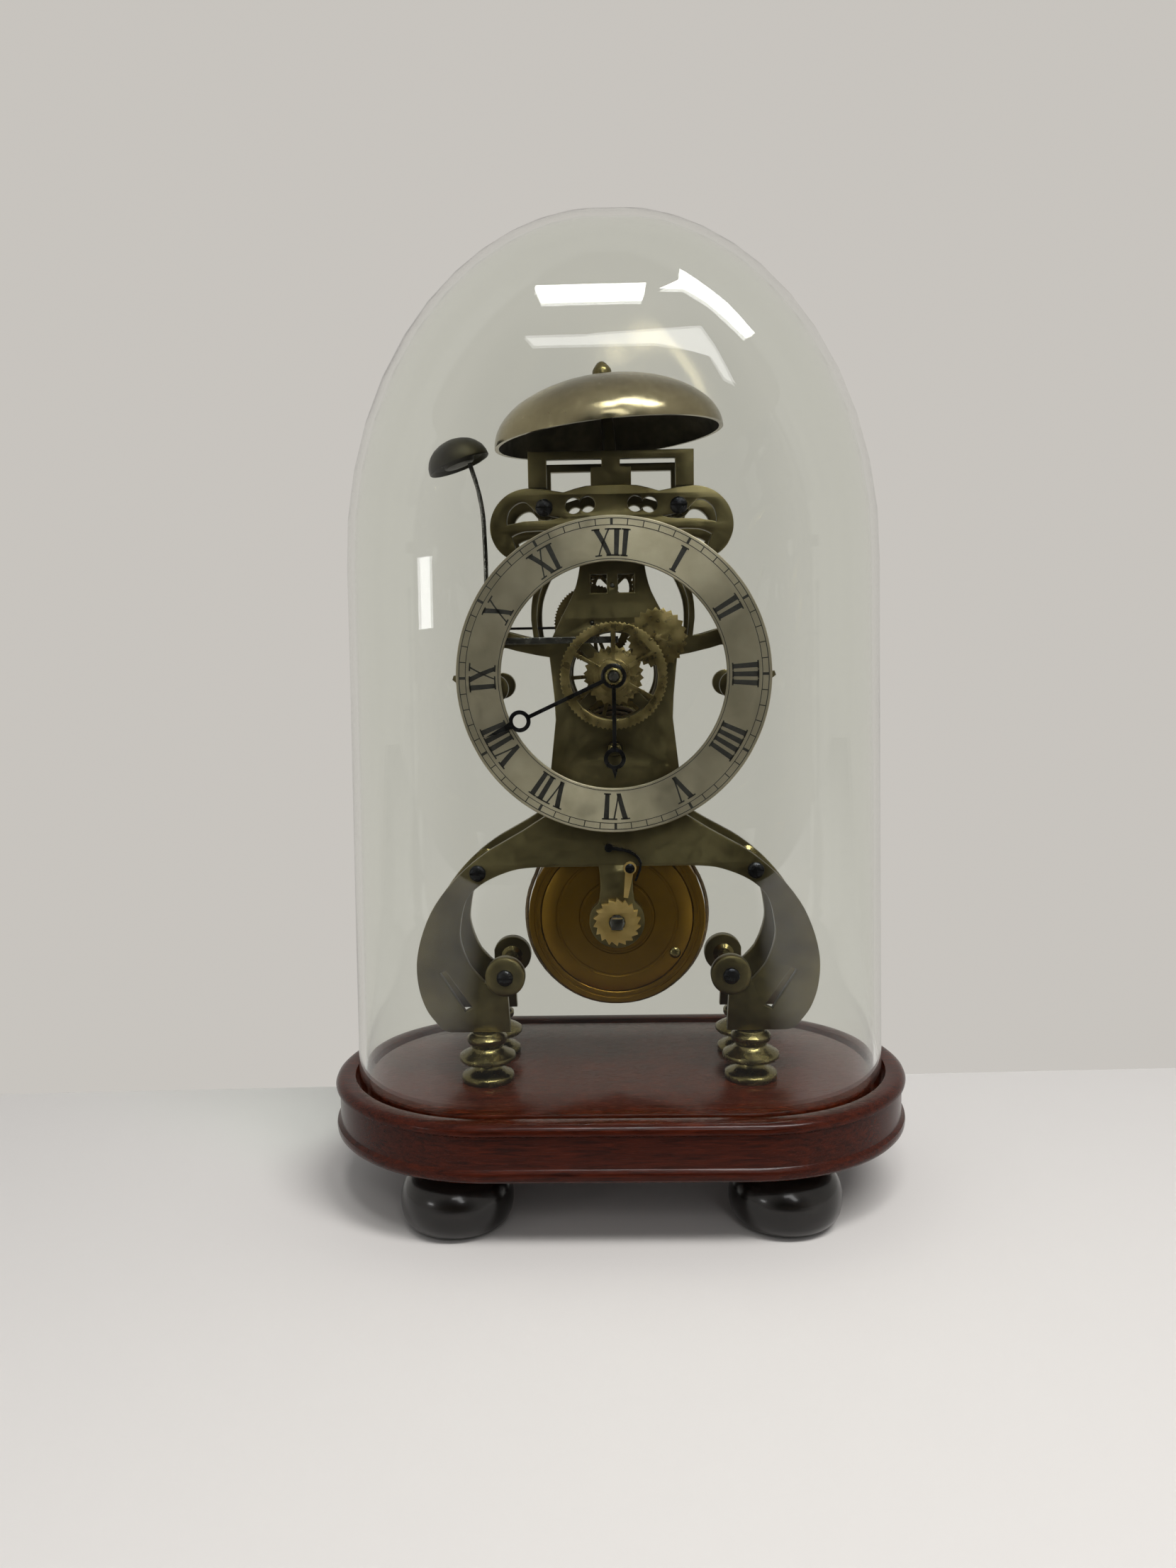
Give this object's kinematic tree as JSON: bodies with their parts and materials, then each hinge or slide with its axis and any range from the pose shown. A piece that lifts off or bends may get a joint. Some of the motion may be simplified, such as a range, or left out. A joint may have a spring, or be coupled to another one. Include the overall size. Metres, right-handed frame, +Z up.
{
  "type": "skeleton clock",
  "caption": "Brass skeleton clock with fusee, pendulum and passing strike on a tilted bell, on an oval mahogany base under a tall glass dome.",
  "frame": {"origin": "on the table, under the middle of the base", "axes": "+Z up, -Y towards the front (the dial), +X to the right seen from the front"},
  "size_m": [0.235, 0.137, 0.389],
  "materials": {
    "brass": "aged, dull olive brown with bright edges",
    "amber_brass": "turned, warm amber brown",
    "bell_metal": "polished, lightly tarnished",
    "silvered": "silvered and brushed, dark painted numerals",
    "steel": "dark polished",
    "mahogany": "french polished, deep red brown",
    "ebonised_wood": "ebonised, glossy black",
    "dome_glass": "clear, faintly green, hand blown",
    "gut_line": "twisted gut, brown"
  },
  "bodies": {
    "frame": {"base_plinth": "mahogany", "base_board": "mahogany", "bun_foot_front_left": "ebonised_wood", "bun_foot_back_left": "ebonised_wood", "bun_foot_front_right": "ebonised_wood", "bun_foot_back_right": "ebonised_wood", "front_plate": "brass", "back_plate": "brass", "frame_foot_front_left": "brass", "frame_foot_back_left": "brass", "frame_foot_front_right": "brass", "frame_foot_back_right": "brass", "pillar_volute_left": "brass", "pillar_volute_right": "brass", "pillar_shoulder_left": "brass", "pillar_shoulder_right": "brass", "pillar_top_left": "brass", "pillar_top_right": "brass", "dial_ring": "silvered", "dial_post_upper_left": "brass", "dial_post_upper_right": "brass", "dial_post_lower_left": "brass", "dial_post_lower_right": "brass", "back_cock": "brass", "bell_stand": "brass", "bell": "bell_metal", "bell_nut": "brass", "barrel_arbor": "steel", "mainspring": "steel", "ratchet_wheel": "steel", "click_spring": "steel", "fusee_line": "gut_line", "hammer_spring": "steel", "minute_stud": "steel"},
    "dome": {"glass_dome": "dome_glass"},
    "barrel": {"barrel_drum": "amber_brass", "barrel_cover": "amber_brass"},
    "fusee": {"fusee": "brass", "great_wheel": "brass"},
    "centre": {"centre_arbor": "steel", "centre_wheel": "brass", "cannon_wheel": "brass", "minute_hand": "steel", "hand_nut": "brass"},
    "hour": {"hour_wheel": "brass", "hour_hand": "steel"},
    "minute_work": {"minute_wheel": "brass"},
    "third": {"third_arbor": "steel", "third_wheel": "brass"},
    "escape": {"escape_arbor": "steel", "escape_wheel": "brass"},
    "pallet": {"pallet_arbor": "steel", "pallets": "steel"},
    "pendulum": {"suspension_spring": "steel", "pendulum_rod": "steel", "pendulum_bob": "brass", "rating_nut": "brass"},
    "hammer": {"hammer_arbor": "steel", "hammer_head": "brass"},
    "click": {"click": "steel"}
  },
  "joints": [
    {"name": "dome_lift", "type": "slide", "parent": "frame", "child": "dome", "axis": [0, 0, 1], "range_m": [0, 0.35]},
    {"name": "centre_turn", "type": "hinge", "parent": "frame", "child": "centre", "pos_m": [0, 0, 0.212], "axis": [0, 1, 0], "continuous": true},
    {"name": "hour_turn", "type": "hinge", "parent": "frame", "child": "hour", "pos_m": [0, 0, 0.212], "axis": [0, 1, 0], "continuous": true},
    {"name": "minute_work_turn", "type": "hinge", "parent": "frame", "child": "minute_work", "pos_m": [0.01685, 0, 0.22614], "axis": [0, 1, 0], "continuous": true},
    {"name": "fusee_turn", "type": "hinge", "parent": "frame", "child": "fusee", "pos_m": [0, 0, 0.1835], "axis": [0, 1, 0], "continuous": true},
    {"name": "barrel_turn", "type": "hinge", "parent": "frame", "child": "barrel", "pos_m": [0, 0, 0.115], "axis": [0, 1, 0], "continuous": true},
    {"name": "third_turn", "type": "hinge", "parent": "frame", "child": "third", "pos_m": [-0.008, 0, 0.23217], "axis": [0, 1, 0], "continuous": true},
    {"name": "escape_turn", "type": "hinge", "parent": "frame", "child": "escape", "pos_m": [0, 0, 0.24649], "axis": [0, 1, 0], "continuous": true},
    {"name": "pendulum_swing", "type": "hinge", "parent": "frame", "child": "pendulum", "pos_m": [0, 0.03, 0.26069], "axis": [0, 1, 0], "range_deg": [-3, 3]},
    {"name": "pallet_rock", "type": "hinge", "parent": "frame", "child": "pallet", "pos_m": [0, 0, 0.26069], "axis": [0, 1, 0], "range_deg": [-3, 3]},
    {"name": "hammer_lift", "type": "hinge", "parent": "frame", "child": "hammer", "pos_m": [-0.05038, 0, 0.22536], "axis": [0, 1, 0], "range_deg": [-8, 0.9], "stiffness_Nm_per_rad": 0.05},
    {"name": "click_lift", "type": "hinge", "parent": "frame", "child": "click", "pos_m": [0.0053, 0, 0.1365], "axis": [0, 1, 0], "range_deg": [-6, 0], "stiffness_Nm_per_rad": 0.005}
  ],
  "couplings": [
    {"joint": "hour_turn", "follows": "centre_turn", "ratio": 0.083333},
    {"joint": "minute_work_turn", "follows": "centre_turn", "ratio": -1},
    {"joint": "fusee_turn", "follows": "centre_turn", "ratio": -0.16667},
    {"joint": "barrel_turn", "follows": "centre_turn", "ratio": -0.045993},
    {"joint": "third_turn", "follows": "centre_turn", "ratio": -12},
    {"joint": "escape_turn", "follows": "centre_turn", "ratio": 152},
    {"joint": "pallet_rock", "follows": "pendulum_swing", "ratio": 1}
  ]
}
